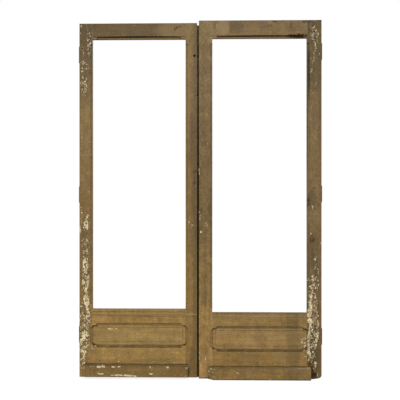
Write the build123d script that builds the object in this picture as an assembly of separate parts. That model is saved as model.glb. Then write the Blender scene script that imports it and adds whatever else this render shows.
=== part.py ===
import os
from dataclasses import dataclass

from build123d import *

# Pair of old wooden french doors, shut, seen from outside along +Y.
# Origin: floor level, middle of the pair in width and in depth. Sizes in millimetres.

# The pair
pair_width = 1489.0  # outer edge to outer edge
left_width = 726.0  # outer edge to the left lip, without the nose
meeting_gap = 11.0  # between the two meeting lips
leaf_thickness = 40.0
arris_radius = 2.5  # worn edges of the stiles

# Left leaf, with the nose
left_height = 2178.0
left_lift = 7.0  # its foot stands this much higher than the right one
left_outer_stile = 81.0
left_meeting_stile = 71.0
left_top_rail = 97.0
left_middle_rail = 100.0
left_panel_height = 124.0
left_bottom_rail = 195.0
left_bar_height = 80.0
left_bar_outer_inset = 36.0
left_bar_meeting_inset = 53.0
left_bar_lift = 8.0  # its worn foot stops this far above the leaf's foot
left_bar_outer_splay = 6.0
left_bar_meeting_splay = 12.0
left_bar_shoulder = 14.0  # round of its top corner beside the meeting stile

# Right leaf, with the hollow
right_height = 2200.0
right_outer_stile = 89.0
right_meeting_stile = 83.0
right_top_rail = 109.0
right_middle_rail = 97.0
right_panel_height = 130.0
right_bottom_rail = 179.0
right_bar_height = 74.0
right_bar_outer_inset = 68.0
right_bar_meeting_inset = 57.0
right_bar_lift = 0.0
right_bar_outer_splay = 8.0
right_bar_meeting_splay = 34.0
right_bar_shoulder = 3.0

# Nose and hollow of the meeting edges
nose_radius = 10.0
nose_neck = 12.0  # from the lip to the centre of the nose
nose_top_cut = 12.0  # the nose stops this far below the leaf's top
hollow_radius = 12.5
hollow_depth = 0.5  # from the lip to the centre of the hollow
hollow_forward = 1.5  # the hollow sits this much nearer the outside face

# Stopped chamfers round the glass and the panel
chamfer_width = 14.0
chamfer_depth = 11.0
quirk_depth = 4.0  # square step at the outer edge of each chamfer
ogee_length = 18.0  # length of the curved stop
rail_stop = 17.0  # plain corner left on the rails
stile_stop = 22.0  # plain corner left on the stiles beside the glass
panel_stile_stop = 3.0  # plain corner left on the stiles beside the panel
scribe_drop = 34.0  # from the glass opening down to the scribed line
scribe_width = 3.5
scribe_depth = 2.5

# Glass rebate at the back
rebate_width = 12.0
rebate_depth = 14.0

# Tenons, mortises and pegs
tenon_front = 13.0  # from the outside face to the tenon
tenon_thickness = 13.0
tenon_shoulder = 16.0
haunch = 26.0  # plain wood above the top tenon and below the bottom one
blind_mortise = 46.0
tenon_clearance = 0.15
peg_radius = 4.0
peg_depth = 30.0
peg_setback = 24.0  # from the shoulder to the peg
peg_shares = (0.25, 0.75)  # how far up its tenon each peg sits
peg_clearance = 0.1

# Panel
tongue_thickness = 9.0
tongue_front = 13.0  # from the outside face to the tongue
groove_depth = 10.0
groove_clearance = 0.2
expansion_gap = 2.0  # between the tongue and the bottom of its groove
field_front = 8.0  # from the outside face to the field
field_step = 3.0
field_side_inset = 20.0
field_top_inset = 15.0
field_bottom_inset = 23.0
panel_back = 4.0  # thickness behind the tongue
panel_side_gap = 1.0

# Weather bar
bar_projection = 38.0
bar_fall = 4.0  # slope of its top
bar_arris = 4.0
bar_foot_chamfer = 5.0
drip_radius = 3.0
drip_setback = 12.0
bar_screws = 4
bar_screw_height = 38.0
bar_screw_margin = 70.0
bar_screw_bite = 20.0

# Screws
screw_radius = 2.0
screw_head_radius = 3.6
screw_length = 28.0
screw_clearance = 0.1
frame_screw_radius = 2.5  # the doorway's own screws are thicker
frame_screw_head_radius = 4.2

# Hinges
hinge_height = 100.0
hinge_knuckles = 5
hinge_top_drop = 190.0  # from the leaf's top to the middle of the top hinge
hinge_foot_rise = 260.0  # from the leaf's foot to the middle of the bottom hinge
plate_width = 32.0
plate_thickness = 2.5
plate_gap = 2.0
plate_clearance = 0.1
knuckle_radius = 6.0
knuckle_standoff = 0.5  # between a knuckle and the leaf's back face
knuckle_gap = 0.4
pin_radius = 3.0
pin_clearance = 0.05
pin_head_radius = 5.0
pin_head_height = 4.0
pin_tail = 2.0
hole_span_y = 14.0
hole_span_z = 70.0
hole_setback = 9.0  # from the plate's back edge to the first holes

# Marks left by lost fittings on the left leaf
lock_hole_radius = 5.0
lock_hole_height = 1977.0
lock_hole_setback = 16.0  # from the lip
lock_hole_depth = 24.0
nose_hole_radius = 3.5
nose_hole_reach = 5.0  # from the lip out on to the nose
nose_hole_heights = (1737.0, 1976.0)
stile_hole_radius = 2.5
stile_hole_height = 2026.0
stile_hole_setback = 16.0  # from the outer edge
mark_depth = 12.0

# Rot at the foot of the right leaf's outer stile
rot_width = 50.0
rot_knee_width = 27.5
rot_knee_height = 4.0
rot_shoulder_width = 12.5
rot_shoulder_height = 8.0
rot_corner = 22.0
hollow_rot_radius = 17.0
hollow_rot_depth = 10.0
hollow_rot_setback = 41.0  # from the outer edge
hollow_rot_height = 21.0
small_rot_radius = 9.0
small_rot_depth = 6.0
small_rot_setback = 72.0  # from the outer edge
small_rot_height = 92.0

# Worked out
half_width = pair_width / 2
right_width = pair_width - left_width - meeting_gap
front = -leaf_thickness / 2
back = leaf_thickness / 2
hinge_axis_y = back + knuckle_standoff + knuckle_radius
hinge_axis_x = -plate_gap / 2
leaf_middle_y = (bar_projection - (hinge_axis_y + knuckle_radius - back)) / 2
over = 1.0  # how far a cutter runs past the surface that it opens


@dataclass
class Leaf:
    """Sizes of one leaf, seen with its outer edge at x = 0 and its foot at z = 0."""

    width: float
    height: float
    outer: float
    meeting: float
    top: float
    middle: float
    panel: float
    bottom: float
    bar_height: float
    bar_outer: float
    bar_meeting: float
    bar_lift: float
    bar_outer_splay: float
    bar_meeting_splay: float
    bar_shoulder: float

    @property
    def inner_left(self):
        return self.outer

    @property
    def inner_right(self):
        return self.width - self.meeting

    @property
    def span(self):
        return self.inner_right - self.inner_left

    @property
    def panel_z(self):
        return self.bottom, self.bottom + self.panel

    @property
    def glass_z(self):
        return self.bottom + self.panel + self.middle, self.height - self.top

    @property
    def tenons(self):
        """Lowest and highest point of the bottom, middle and top tenon."""
        panel_low, panel_high = self.panel_z
        glass_low, glass_high = self.glass_z
        return (
            (haunch, panel_low - tenon_shoulder),
            (panel_high + tenon_shoulder, glass_low - tenon_shoulder),
            (glass_high + tenon_shoulder, self.height - haunch),
        )

    @property
    def hinge_middles(self):
        low, high = hinge_foot_rise, self.height - hinge_top_drop
        return {"bottom": low, "middle": (low + high) / 2, "top": high}


left_leaf = Leaf(
    left_width, left_height, left_outer_stile, left_meeting_stile, left_top_rail,
    left_middle_rail, left_panel_height, left_bottom_rail, left_bar_height,
    left_bar_outer_inset, left_bar_meeting_inset, left_bar_lift, left_bar_outer_splay,
    left_bar_meeting_splay, left_bar_shoulder,
)
right_leaf = Leaf(
    right_width, right_height, right_outer_stile, right_meeting_stile, right_top_rail,
    right_middle_rail, right_panel_height, right_bottom_rail, right_bar_height,
    right_bar_outer_inset, right_bar_meeting_inset, right_bar_lift, right_bar_outer_splay,
    right_bar_meeting_splay, right_bar_shoulder,
)


def block(x, y, z):
    """A box between a low and a high value on each axis."""
    size = [pair[1] - pair[0] for pair in (x, y, z)]
    return Pos(x[0], y[0], z[0]) * Box(*size, align=Align.MIN)


def rod(radius, length, start, direction):
    """A round bar from a start point along a direction."""
    return Plane(start, z_dir=direction) * Cylinder(
        radius, length, align=(Align.CENTER, Align.CENTER, Align.MIN)
    )


# Chamfers with ogee stops


def ogee_outline(length, stop):
    """Front view of a stopped chamfer: straight between two S-shaped stops."""
    start, end = stop, length - stop
    middle = ogee_length / 2, chamfer_width / 2
    rise = TangentArc((start, 0), (start + middle[0], middle[1]), tangent=(1, 0))
    crest = TangentArc(rise @ 1, (start + ogee_length, chamfer_width), tangent=rise % 1)
    ridge = Line(crest @ 1, (end - ogee_length, chamfer_width))
    fall = TangentArc(ridge @ 1, (end - middle[0], middle[1]), tangent=(1, 0))
    foot = TangentArc(fall @ 1, (end, 0), tangent=fall % 1)
    base = Polyline(foot @ 1, (end, -over), (start, -over), (start, 0))
    return make_face([rise, crest, ridge, fall, foot, base])


def stopped_chamfer(length, stop):
    """Cutter along +X: wood lies above z = 0 and the outside face is y = 0."""
    slope = Polyline(
        (-over, -over), (-over, chamfer_width), (quirk_depth, chamfer_width),
        (chamfer_depth, 0), (chamfer_depth, -over), close=True,
    )
    prism = extrude(Plane.YZ * make_face(slope), length)
    outline = Pos(0, -over, 0) * extrude(Plane.XZ * ogee_outline(length, stop), -chamfer_depth - 2 * over)
    return prism & outline


def edge_chamfers(x, z, stile_stop_size):
    """The four chamfers round an opening, keyed by the side of the opening."""
    wide, tall = x[1] - x[0], z[1] - z[0]
    rail_cut = stopped_chamfer(wide, rail_stop)
    stile_cut = stopped_chamfer(tall, stile_stop_size)
    return {
        "above": Plane((x[0], front, z[1]), x_dir=(1, 0, 0), z_dir=(0, 0, 1)) * rail_cut,
        "below": Plane((x[1], front, z[0]), x_dir=(-1, 0, 0), z_dir=(0, 0, -1)) * rail_cut,
        "left": Plane((x[0], front, z[0]), x_dir=(0, 0, 1), z_dir=(-1, 0, 0)) * stile_cut,
        "right": Plane((x[1], front, z[1]), x_dir=(0, 0, -1), z_dir=(1, 0, 0)) * stile_cut,
    }


# Cutters shared by the pieces of one leaf


def glass_rebate(leaf):
    low, high = leaf.glass_z
    return block(
        (leaf.inner_left - rebate_width, leaf.inner_right + rebate_width),
        (back - rebate_depth, back + over),
        (low - rebate_width, high + rebate_width),
    )


def panel_groove(leaf):
    low, high = leaf.panel_z
    tongue = front + tongue_front
    return block(
        (leaf.inner_left - groove_depth, leaf.inner_right + groove_depth),
        (tongue - groove_clearance, tongue + tongue_thickness + groove_clearance),
        (low - groove_depth, high + groove_depth),
    )


def peg_places(leaf):
    """Two pegs in each tenon, at both ends of the rails."""
    for low, high in leaf.tenons:
        for share in peg_shares:
            z = low + share * (high - low)
            yield leaf.inner_left - peg_setback, z
            yield leaf.inner_right + peg_setback, z


def pegs(leaf, spare=0.0):
    proud = over if spare else 0
    return [
        rod(peg_radius + spare, peg_depth + proud, (x, back + proud, z), (0, -1, 0))
        for x, z in peg_places(leaf)
    ]


def mortises(leaf, x):
    cheek = front + tenon_front
    return [
        block(x, (cheek - tenon_clearance, cheek + tenon_thickness + tenon_clearance),
              (low - tenon_clearance, high + tenon_clearance))
        for low, high in leaf.tenons
    ]


def bar_screw_places(leaf):
    low = leaf.bar_outer + bar_screw_margin
    high = leaf.width - leaf.bar_meeting - bar_screw_margin
    step = (high - low) / (bar_screws - 1)
    return [low + step * count for count in range(bar_screws)]


def countersunk(length, shank, head):
    """Countersunk screw along +X with its flat head at x = 0."""
    half = Polyline(
        (0, 0), (0, head), (head - shank, shank), (length - 2 * shank, shank), (length, 0), close=True,
    )
    return revolve(make_face(half), Axis.X)


def wood_screw(length, spare=0.0):
    """The leaf's screw, or its hole when it is given spare room."""
    return countersunk(length + spare, screw_radius + spare, screw_head_radius + spare)


# Stiles


def outer_section(leaf):
    """Rectangle with its outside arris worn round."""
    section = Rectangle(leaf.outer, leaf_thickness, align=(Align.MIN, Align.CENTER))
    corner = section.vertices().sort_by(lambda v: v.X + v.Y)[0]
    return fillet(corner, arris_radius)


def nose_section(leaf):
    lip = leaf.width
    body = Pos(leaf.inner_right, 0) * Rectangle(leaf.meeting, leaf_thickness, align=(Align.MIN, Align.CENTER))
    corners = body.vertices().filter_by(lambda v: v.X > lip - over)
    neck = Pos(lip - over, 0) * Rectangle(
        nose_neck + over, 2 * nose_radius, align=(Align.MIN, Align.CENTER)
    )
    return fillet(corners, arris_radius) + neck + Pos(lip + nose_neck, 0) * Circle(nose_radius)


def hollow_section(leaf):
    lip = leaf.width
    body = Pos(leaf.inner_right, 0) * Rectangle(leaf.meeting, leaf_thickness, align=(Align.MIN, Align.CENTER))
    corners = body.vertices().filter_by(lambda v: v.X > lip - over)
    return fillet(corners, arris_radius) - Pos(lip - hollow_depth, -hollow_forward) * Circle(hollow_radius)


def rotted_foot():
    """Crumbled corner at the foot and two hollows eaten into the outside face."""
    edge = Spline(
        (rot_width, 0), (rot_knee_width, rot_knee_height),
        (rot_shoulder_width, rot_shoulder_height), (0, rot_corner),
    )
    rim = Polyline((0, rot_corner), (-over, rot_corner), (-over, -over), (rot_width, -over), (rot_width, 0))
    corner = Pos(0, front - over, 0) * extrude(
        Plane.XZ * make_face([edge, rim]), -leaf_thickness - 2 * over
    )
    return [
        corner,
        rot_pit(hollow_rot_radius, hollow_rot_depth, hollow_rot_setback, hollow_rot_height),
        rot_pit(small_rot_radius, small_rot_depth, small_rot_setback, small_rot_height),
    ]


def rot_pit(radius, depth, setback, height):
    return Pos(setback, front - radius + depth, height) * Sphere(radius)


def outer_stile(leaf, glass, panel, rotted):
    stile = extrude(outer_section(leaf), leaf.height)
    cuts = [glass_rebate(leaf), panel_groove(leaf), glass["left"], panel["left"]]
    cuts += mortises(leaf, (-over, leaf.outer + over)) + pegs(leaf, peg_clearance)
    for middle in leaf.hinge_middles.values():
        cuts.append(hinge_gain(middle))
        cuts += plate_screws(middle, screw_clearance)
    if rotted:
        cuts += rotted_foot()
    else:
        mark = (stile_hole_setback, front - over, stile_hole_height)
        cuts.append(rod(stile_hole_radius, mark_depth, mark, (0, 1, 0)))
    return stile - cuts


def meeting_stile(leaf, glass, panel, nosed):
    stile = extrude(nose_section(leaf) if nosed else hollow_section(leaf), leaf.height)
    cuts = [glass_rebate(leaf), panel_groove(leaf), glass["right"], panel["right"]]
    cuts += mortises(leaf, (leaf.inner_right - over, leaf.inner_right + blind_mortise + tenon_clearance))
    cuts += pegs(leaf, peg_clearance)
    if nosed:
        cuts.append(block(
            (leaf.width, leaf.width + nose_neck + nose_radius + over),
            (front, back),
            (leaf.height - nose_top_cut, leaf.height + over),
        ))
        lock = (leaf.width - lock_hole_setback, front - over, lock_hole_height)
        cuts.append(rod(lock_hole_radius, lock_hole_depth, lock, (0, 1, 0)))
        for height in nose_hole_heights:
            mark = (leaf.width + nose_hole_reach, -nose_radius - over, height)
            cuts.append(rod(nose_hole_radius, mark_depth, mark, (0, 1, 0)))
    return stile - cuts


# Rails


def rail(leaf, tenon, z, cuts):
    """Board between the stiles with a long tenon outward and a blind one inward."""
    cheek = front + tenon_front
    body = block((leaf.inner_left, leaf.inner_right), (front, back), z)
    tongue = block((0, leaf.inner_right + blind_mortise), (cheek, cheek + tenon_thickness), tenon)
    return body + tongue - (cuts + pegs(leaf, peg_clearance))


def scribed_line(leaf):
    z = leaf.glass_z[0] - scribe_drop
    notch = Polyline(
        (front - over, z + scribe_width), (front + scribe_depth, z), (front - over, z - scribe_width), close=True,
    )
    return Pos(leaf.inner_left - over, 0, 0) * extrude(Plane.YZ * make_face(notch), leaf.span + 2 * over)


def bottom_rail(leaf, tenon, panel):
    screws = [
        Plane((x, back, bar_screw_height), x_dir=(0, -1, 0), z_dir=(0, 0, 1))
        * wood_screw(leaf_thickness + bar_screw_bite, screw_clearance)
        for x in bar_screw_places(leaf)
    ]
    return rail(leaf, tenon, (0, leaf.bottom), [panel_groove(leaf), panel["below"]] + screws)


# Panel


def fielded_panel(leaf):
    """Thin tongue all round, raised and stepped field outside, flat back."""
    low, high = leaf.panel_z
    tongue = front + tongue_front
    reach = groove_depth - expansion_gap
    x = (leaf.inner_left, leaf.inner_right)
    slab = block(
        (x[0] - reach, x[1] + reach), (tongue, tongue + tongue_thickness), (low - reach, high + reach)
    )
    field_x = (x[0] + field_side_inset, x[1] - field_side_inset)
    field_z = (low + field_bottom_inset, high - field_top_inset)
    crown = front + field_front
    raised = loft([
        panel_outline(x, (low, high), tongue, panel_side_gap),
        panel_outline(field_x, field_z, crown + field_step, 0),
    ])
    field = block(field_x, (crown, crown + field_step), field_z)
    rear = block(
        (x[0] + panel_side_gap, x[1] - panel_side_gap),
        (tongue + tongue_thickness, tongue + tongue_thickness + panel_back),
        (low + panel_side_gap, high - panel_side_gap),
    )
    return slab + raised + field + rear


def panel_outline(x, z, y, gap):
    """Rectangle in an upright plane at depth y, taken in by a gap on each side."""
    middle = ((x[0] + x[1]) / 2, y, (z[0] + z[1]) / 2)
    return Plane(middle, x_dir=(1, 0, 0), z_dir=(0, -1, 0)) * Rectangle(
        x[1] - x[0] - 2 * gap, z[1] - z[0] - 2 * gap
    )


# Weather bar


def weather_bar(leaf):
    """Planted bar: falling top, round arris, splayed ends and a drip groove below."""
    x = (leaf.bar_outer, leaf.width - leaf.bar_meeting)
    nose = front - bar_projection
    arris = leaf.bar_height - bar_fall
    foot = leaf.bar_lift
    section = Polyline(
        (front, foot), (front, leaf.bar_height), (nose, arris), (nose, foot + bar_foot_chamfer),
        (nose + bar_foot_chamfer, foot), close=True,
    )
    face = make_face(section)
    face = fillet(face.vertices().sort_by(lambda v: (v.X - v.Y))[0], bar_arris)
    drip = Pos(nose + drip_setback, foot) * Circle(drip_radius)
    length = x[1] - x[0]
    bar = Pos(x[0], 0, 0) * extrude(Plane.YZ * (face - drip), length)
    outer, meeting = leaf.bar_outer_splay, leaf.bar_meeting_splay
    plan = Polyline(
        (x[0], front), (x[1], front), (x[1], nose + meeting), (x[1] - meeting, nose),
        (x[0] + outer, nose), (x[0], nose + outer), close=True,
    )
    splayed = extrude(make_face(plan), leaf.bar_height)
    view = Rectangle(length, leaf.bar_height, align=Align.MIN)
    corner = view.vertices().sort_by(lambda v: v.X + v.Y)[-1]
    shouldered = Plane((x[0], front, 0), x_dir=(1, 0, 0), z_dir=(0, -1, 0)) * extrude(
        fillet(corner, leaf.bar_shoulder), bar_projection
    )
    screws = [
        rod(screw_radius + screw_clearance, bar_screw_bite + over,
            (place, front + over, bar_screw_height), (0, -1, 0))
        for place in bar_screw_places(leaf)
    ]
    return (bar & splayed & shouldered) - screws


def bar_screw_set(leaf):
    return [
        Plane((x, back, bar_screw_height), x_dir=(0, -1, 0), z_dir=(0, 0, 1))
        * wood_screw(leaf_thickness + bar_screw_bite - over)
        for x in bar_screw_places(leaf)
    ]


# Hinges, built on a leaf's outer edge at x = 0 with the doorway at negative x


def plate_box(x, middle, spare=0.0):
    return block(
        x, (back - plate_width - spare, back + spare),
        (middle - hinge_height / 2 - spare, middle + hinge_height / 2 + spare),
    )


def hinge_gain(middle):
    return plate_box((-over, plate_thickness + plate_clearance), middle, plate_clearance)


def hole_places(middle):
    for y in (back - hole_setback, back - hole_setback - hole_span_y):
        for side in (-1, 1):
            yield y, middle + side * hole_span_z / 2


def plate_screws(middle, spare=0.0):
    return [Pos(0, y, z) * wood_screw(screw_length, spare) for y, z in hole_places(middle)]


def knuckles(middle, first):
    """Every other knuckle, starting with the lowest or the second."""
    pitch = hinge_height / hinge_knuckles
    foot = middle - hinge_height / 2
    for count in range(first, hinge_knuckles, 2):
        low = foot + count * pitch
        yield (low + (knuckle_gap / 2 if count else 0),
               low + pitch - (knuckle_gap / 2 if count < hinge_knuckles - 1 else 0))


def hinge_half(middle, x, first, holes):
    """Plate with its knuckles rolled round the pin and four countersunk holes."""
    half = plate_box(x, middle)
    for low, high in knuckles(middle, first):
        half += block(x, (back, hinge_axis_y), (low, high))
        half += rod(knuckle_radius, high - low, (hinge_axis_x, hinge_axis_y, low), (0, 0, 1))
    bore = rod(pin_radius + pin_clearance, hinge_height + 2 * over,
               (hinge_axis_x, hinge_axis_y, middle - hinge_height / 2 - over), (0, 0, 1))
    return half - bore - holes


def leaf_plate(middle):
    return hinge_half(middle, (0, plate_thickness), 1, plate_screws(middle, screw_clearance))


def frame_plate(middle):
    """Plate for the doorway, with holes for thicker screws that enter from the leaf's side."""
    hole = countersunk(
        screw_length, frame_screw_radius + screw_clearance, frame_screw_head_radius + screw_clearance
    )
    turned = mirror(hole, about=Plane.YZ)
    holes = [Pos(-plate_gap, y, z) * turned for y, z in hole_places(middle)]
    return hinge_half(middle, (-plate_gap - plate_thickness, -plate_gap), 0, holes)


def hinge_pin(middle):
    """Plain pin with a turned button head above the top knuckle."""
    reach = hinge_height / 2
    crown = reach + pin_head_height
    half = Polyline(
        (0, -reach - pin_tail), (pin_radius - over, -reach - pin_tail), (pin_radius, -reach - pin_tail + over),
        (pin_radius, reach), (pin_head_radius, reach), (pin_head_radius, crown - pin_tail),
        (pin_head_radius - pin_tail, crown), (0, crown), close=True,
    )
    return Pos(hinge_axis_x, hinge_axis_y, middle) * revolve(Plane.XZ * make_face(half), Axis.Z)


# Whole leaves


def leaf_pieces(leaf, nosed):
    glass = edge_chamfers((leaf.inner_left, leaf.inner_right), leaf.glass_z, stile_stop)
    panel = edge_chamfers((leaf.inner_left, leaf.inner_right), leaf.panel_z, panel_stile_stop)
    bottom, middle, top = leaf.tenons
    rebate, groove = glass_rebate(leaf), panel_groove(leaf)
    middle_cuts = [rebate, groove, glass["below"], panel["above"], scribed_line(leaf)]
    pieces = {
        "outer_stile": outer_stile(leaf, glass, panel, rotted=not nosed),
        "meeting_stile": meeting_stile(leaf, glass, panel, nosed),
        "top_rail": rail(leaf, top, (leaf.glass_z[1], leaf.height), [rebate, glass["above"]]),
        "middle_rail": rail(leaf, middle, (leaf.panel_z[1], leaf.glass_z[0]), middle_cuts),
        "bottom_rail": bottom_rail(leaf, bottom, panel),
        "panel": fielded_panel(leaf),
        "weather_bar": weather_bar(leaf),
        "pegs": Compound(children=pegs(leaf)),
        "bar_screws": Compound(children=bar_screw_set(leaf)),
    }
    plate_fixings = []
    for place, height in leaf.hinge_middles.items():
        pieces[f"{place}_hinge_plate"] = leaf_plate(height)
        pieces[f"{place}_frame_plate"] = frame_plate(height)
        pieces[f"{place}_hinge_pin"] = hinge_pin(height)
        plate_fixings += plate_screws(height)
    pieces["plate_screws"] = Compound(children=plate_fixings)
    return pieces


def main():
    os.makedirs("parts", exist_ok=True)
    for name, piece in leaf_pieces(left_leaf, nosed=True).items():
        export_step(Pos(-half_width, leaf_middle_y, left_lift) * piece, f"parts/left_{name}.step")
    for name, piece in leaf_pieces(right_leaf, nosed=False).items():
        turned = mirror(piece, about=Plane.YZ)
        export_step(Pos(half_width, leaf_middle_y, 0) * turned, f"parts/right_{name}.step")


main()
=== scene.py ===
import math
import random

import bpy
from mathutils import Euler, Matrix, Vector


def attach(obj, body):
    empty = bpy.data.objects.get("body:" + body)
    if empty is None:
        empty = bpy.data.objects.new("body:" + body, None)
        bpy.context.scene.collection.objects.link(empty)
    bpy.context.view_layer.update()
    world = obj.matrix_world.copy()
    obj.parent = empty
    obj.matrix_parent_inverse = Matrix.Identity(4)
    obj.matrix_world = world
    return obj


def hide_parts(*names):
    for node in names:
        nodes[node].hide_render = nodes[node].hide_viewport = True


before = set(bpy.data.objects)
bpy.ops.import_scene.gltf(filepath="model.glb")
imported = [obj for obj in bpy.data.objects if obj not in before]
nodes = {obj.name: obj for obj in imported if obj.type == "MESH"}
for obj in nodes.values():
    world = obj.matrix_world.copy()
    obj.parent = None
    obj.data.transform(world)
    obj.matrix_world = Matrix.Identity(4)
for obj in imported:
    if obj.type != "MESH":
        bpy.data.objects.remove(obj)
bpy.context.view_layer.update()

print("frame loaded, pieces:", len(nodes))


# Colours are written as they look on the finished part, 0 to 255
def colour(red, green, blue):
    def linear(level):
        level = level / 255
        return level / 12.92 if level <= 0.04045 else ((level + 0.055) / 1.055) ** 2.4
    return (linear(red), linear(green), linear(blue), 1.0)


# Small helpers for node trees
def feed(tree, socket, value):
    if isinstance(value, bpy.types.NodeSocket):
        tree.links.new(value, socket)
    else:
        socket.default_value = value


def addNode(tree, kind, inputs=None, **settings):
    node = tree.nodes.new(kind)
    for key, value in settings.items():
        setattr(node, key, value)
    for socket, value in (inputs or {}).items():
        feed(tree, node.inputs[socket], value)
    return node


def calc(tree, operation, *values, clamp=False):
    node = addNode(tree, "ShaderNodeMath", operation=operation, use_clamp=clamp)
    for count, value in enumerate(values):
        feed(tree, node.inputs[count], value)
    return node.outputs[0]


def times(tree, first, second):
    return calc(tree, "MULTIPLY", first, second)


def larger(tree, first, second):
    return calc(tree, "MAXIMUM", first, second)


def vectorCalc(tree, operation, *values, out="Vector"):
    node = addNode(tree, "ShaderNodeVectorMath", operation=operation)
    for count, value in enumerate(values):
        feed(tree, node.inputs[count], value)
    return node.outputs[out]


def remap(tree, value, low, high, toLow=0.0, toHigh=1.0, smooth=True):
    node = addNode(tree, "ShaderNodeMapRange", interpolation_type="SMOOTHSTEP" if smooth else "LINEAR")
    sockets = ("Value", "From Min", "From Max", "To Min", "To Max")
    for socket, level in zip(sockets, (value, low, high, toLow, toHigh)):
        feed(tree, node.inputs[socket], level)
    return node.outputs["Result"]


def mixed(tree, share, first, second):
    node = addNode(tree, "ShaderNodeMix", data_type="RGBA", blend_type="MIX")
    feed(tree, node.inputs[0], share)
    feed(tree, node.inputs[6], first)
    feed(tree, node.inputs[7], second)
    return node.outputs[2]


def scaled(tree, shade, factor):  # the same colour, lighter or darker
    return addNode(tree, "ShaderNodeVectorMath", {0: shade, "Scale": factor}, operation="SCALE").outputs[0]


def noiseOn(tree, vector, scale, detail=3.0, rough=0.55, warp=0.0, out="Fac"):
    node = addNode(tree, "ShaderNodeTexNoise", {
        "Vector": vector, "Scale": scale, "Detail": detail, "Roughness": rough, "Distortion": warp})
    return node.outputs[out]


def stretched(tree, vector, scale, shift=(0.0, 0.0, 0.0)):
    inputs = {"Vector": vector, "Scale": scale, "Location": shift}
    return addNode(tree, "ShaderNodeMapping", inputs).outputs[0]


def jittered(tree, vector, noise, reach):  # moves each point a little, so that outlines turn ragged
    offset = vectorCalc(tree, "SUBTRACT", noise, (0.5, 0.5, 0.5))
    return vectorCalc(tree, "MULTIPLY_ADD", offset, reach, vector)


def toned(tree, value, stops):  # colour ramp from (place, colour) pairs
    node = addNode(tree, "ShaderNodeValToRGB", {"Fac": value})
    ramp = node.color_ramp
    ramp.interpolation = "EASE"
    while len(ramp.elements) < len(stops):
        ramp.elements.new(0.5)
    for element, (place, shade) in zip(ramp.elements, sorted(stops)):
        element.position = place
        element.color = shade
    return node.outputs["Color"]


def newGroup(name, inputs, outputs):
    tree = bpy.data.node_groups.new(name, "ShaderNodeTree")
    for socket, kind, start in inputs:
        made = tree.interface.new_socket(name=socket, in_out="INPUT", socket_type="NodeSocket" + kind)
        if start is not None:
            made.default_value = start
    for socket, kind in outputs:
        tree.interface.new_socket(name=socket, in_out="OUTPUT", socket_type="NodeSocket" + kind)
    entry = tree.nodes.new("NodeGroupInput").outputs
    leave = tree.nodes.new("NodeGroupOutput").inputs
    return tree, entry, leave


def useGroup(tree, group, **values):  # the socket "Reach" is given as reach
    node = tree.nodes.new("ShaderNodeGroup")
    node.node_tree = group
    for key, value in values.items():
        feed(tree, node.inputs[key.capitalize()], value)
    return node.outputs


def newMaterial(name):
    material = bpy.data.materials.new(name)
    material.use_nodes = True
    tree = material.node_tree
    return material, tree, tree.nodes["Principled BSDF"]


def addBump(tree, shader, height, strength, depth):
    bump = addNode(tree, "ShaderNodeBump", {"Strength": strength, "Distance": depth, "Height": height})
    feed(tree, shader.inputs["Normal"], bump.outputs[0])


# Shared effects; a span is the two levels between which a mask goes from nothing to full
effects = dict(
    areaSpan=(1.3, 0.6),  # in shares of a worn place's reach
    fineChips=2.2,  # times the flake size
    broadChips=0.8,
    fineShare=0.70,
    broadShare=0.30,
    wholeLevel=0.70,  # where the amount is 0, noise below this level keeps its paint
    lossRate=0.31,  # how far an amount of 1 lowers that level
    chipEdge=0.006,
    rimSpan=(-0.068, -0.010),  # below the chip's own level
    fibreScale=420.0,
    poreScale=760.0,
    poreSpan=(0.60, 0.70),
    figureScale=30.0,
    figureWarp=1.2,
    rubScale=70.0,
    rubSpan=(0.42, 0.60),
    arrisSpan=(0.03, 0.16),
    arrisSamples=4,
    grimeScale=28.0,
    grimeSpan=(0.25, 0.65),
    grimeLeast=0.55,
    cornerSpan=0.40,
    cornerSamples=6,
    runScale=(55.0, 55.0, 1.6),
    runDark=(0.54, 0.68),
    runPale=(0.44, 0.30),
    fadeScale=3.0,
    fadeDark=(0.35, 0.65),
    fadePale=(0.6, 0.4),
)


def makeWornArea():  # one soft oval where wear gathers, laid over what came before
    tree, entry, leave = newGroup(
        "worn area",
        [("Vector", "Vector", None), ("Place", "Vector", None), ("Reach", "Vector", (1.0, 1.0, 1.0)),
         ("Amount", "Float", 0.5), ("Before", "Float", 0.0)],
        [("Amount", "Float")])
    away = vectorCalc(tree, "SUBTRACT", entry["Vector"], entry["Place"])
    away = vectorCalc(tree, "DIVIDE", away, entry["Reach"])
    away = vectorCalc(tree, "MULTIPLY", away, (1.0, 0.0, 1.0))
    distance = vectorCalc(tree, "LENGTH", away, out="Value")
    mask = remap(tree, distance, *effects["areaSpan"])
    here = times(tree, mask, entry["Amount"])
    tree.links.new(larger(tree, here, entry["Before"]), leave["Amount"])
    return tree


def makeFlaking():  # ragged chips: the greater the amount, the more of the surface is gone
    tree, entry, leave = newGroup(
        "flaking",
        [("Vector", "Vector", None), ("Amount", "Float", 0.3), ("Size", "Float", 60.0)],
        [("Gone", "Float"), ("Rim", "Float")])
    fineScale = times(tree, entry["Size"], effects["fineChips"])
    fine = noiseOn(tree, entry["Vector"], fineScale, 3.0, 0.55)
    broadScale = times(tree, entry["Size"], effects["broadChips"])
    broad = noiseOn(tree, entry["Vector"], broadScale, 2.0, 0.5, 0.4)
    fine = times(tree, fine, effects["fineShare"])
    level = calc(tree, "ADD", fine, times(tree, broad, effects["broadShare"]))
    edge = calc(tree, "MULTIPLY_ADD", entry["Amount"], -effects["lossRate"], effects["wholeLevel"])
    over = calc(tree, "SUBTRACT", level, edge)
    gone = remap(tree, over, -effects["chipEdge"], effects["chipEdge"])
    rim = calc(tree, "SUBTRACT", remap(tree, over, *effects["rimSpan"]), gone, clamp=True)
    tree.links.new(gone, leave["Gone"])
    tree.links.new(rim, leave["Rim"])
    return tree


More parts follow.
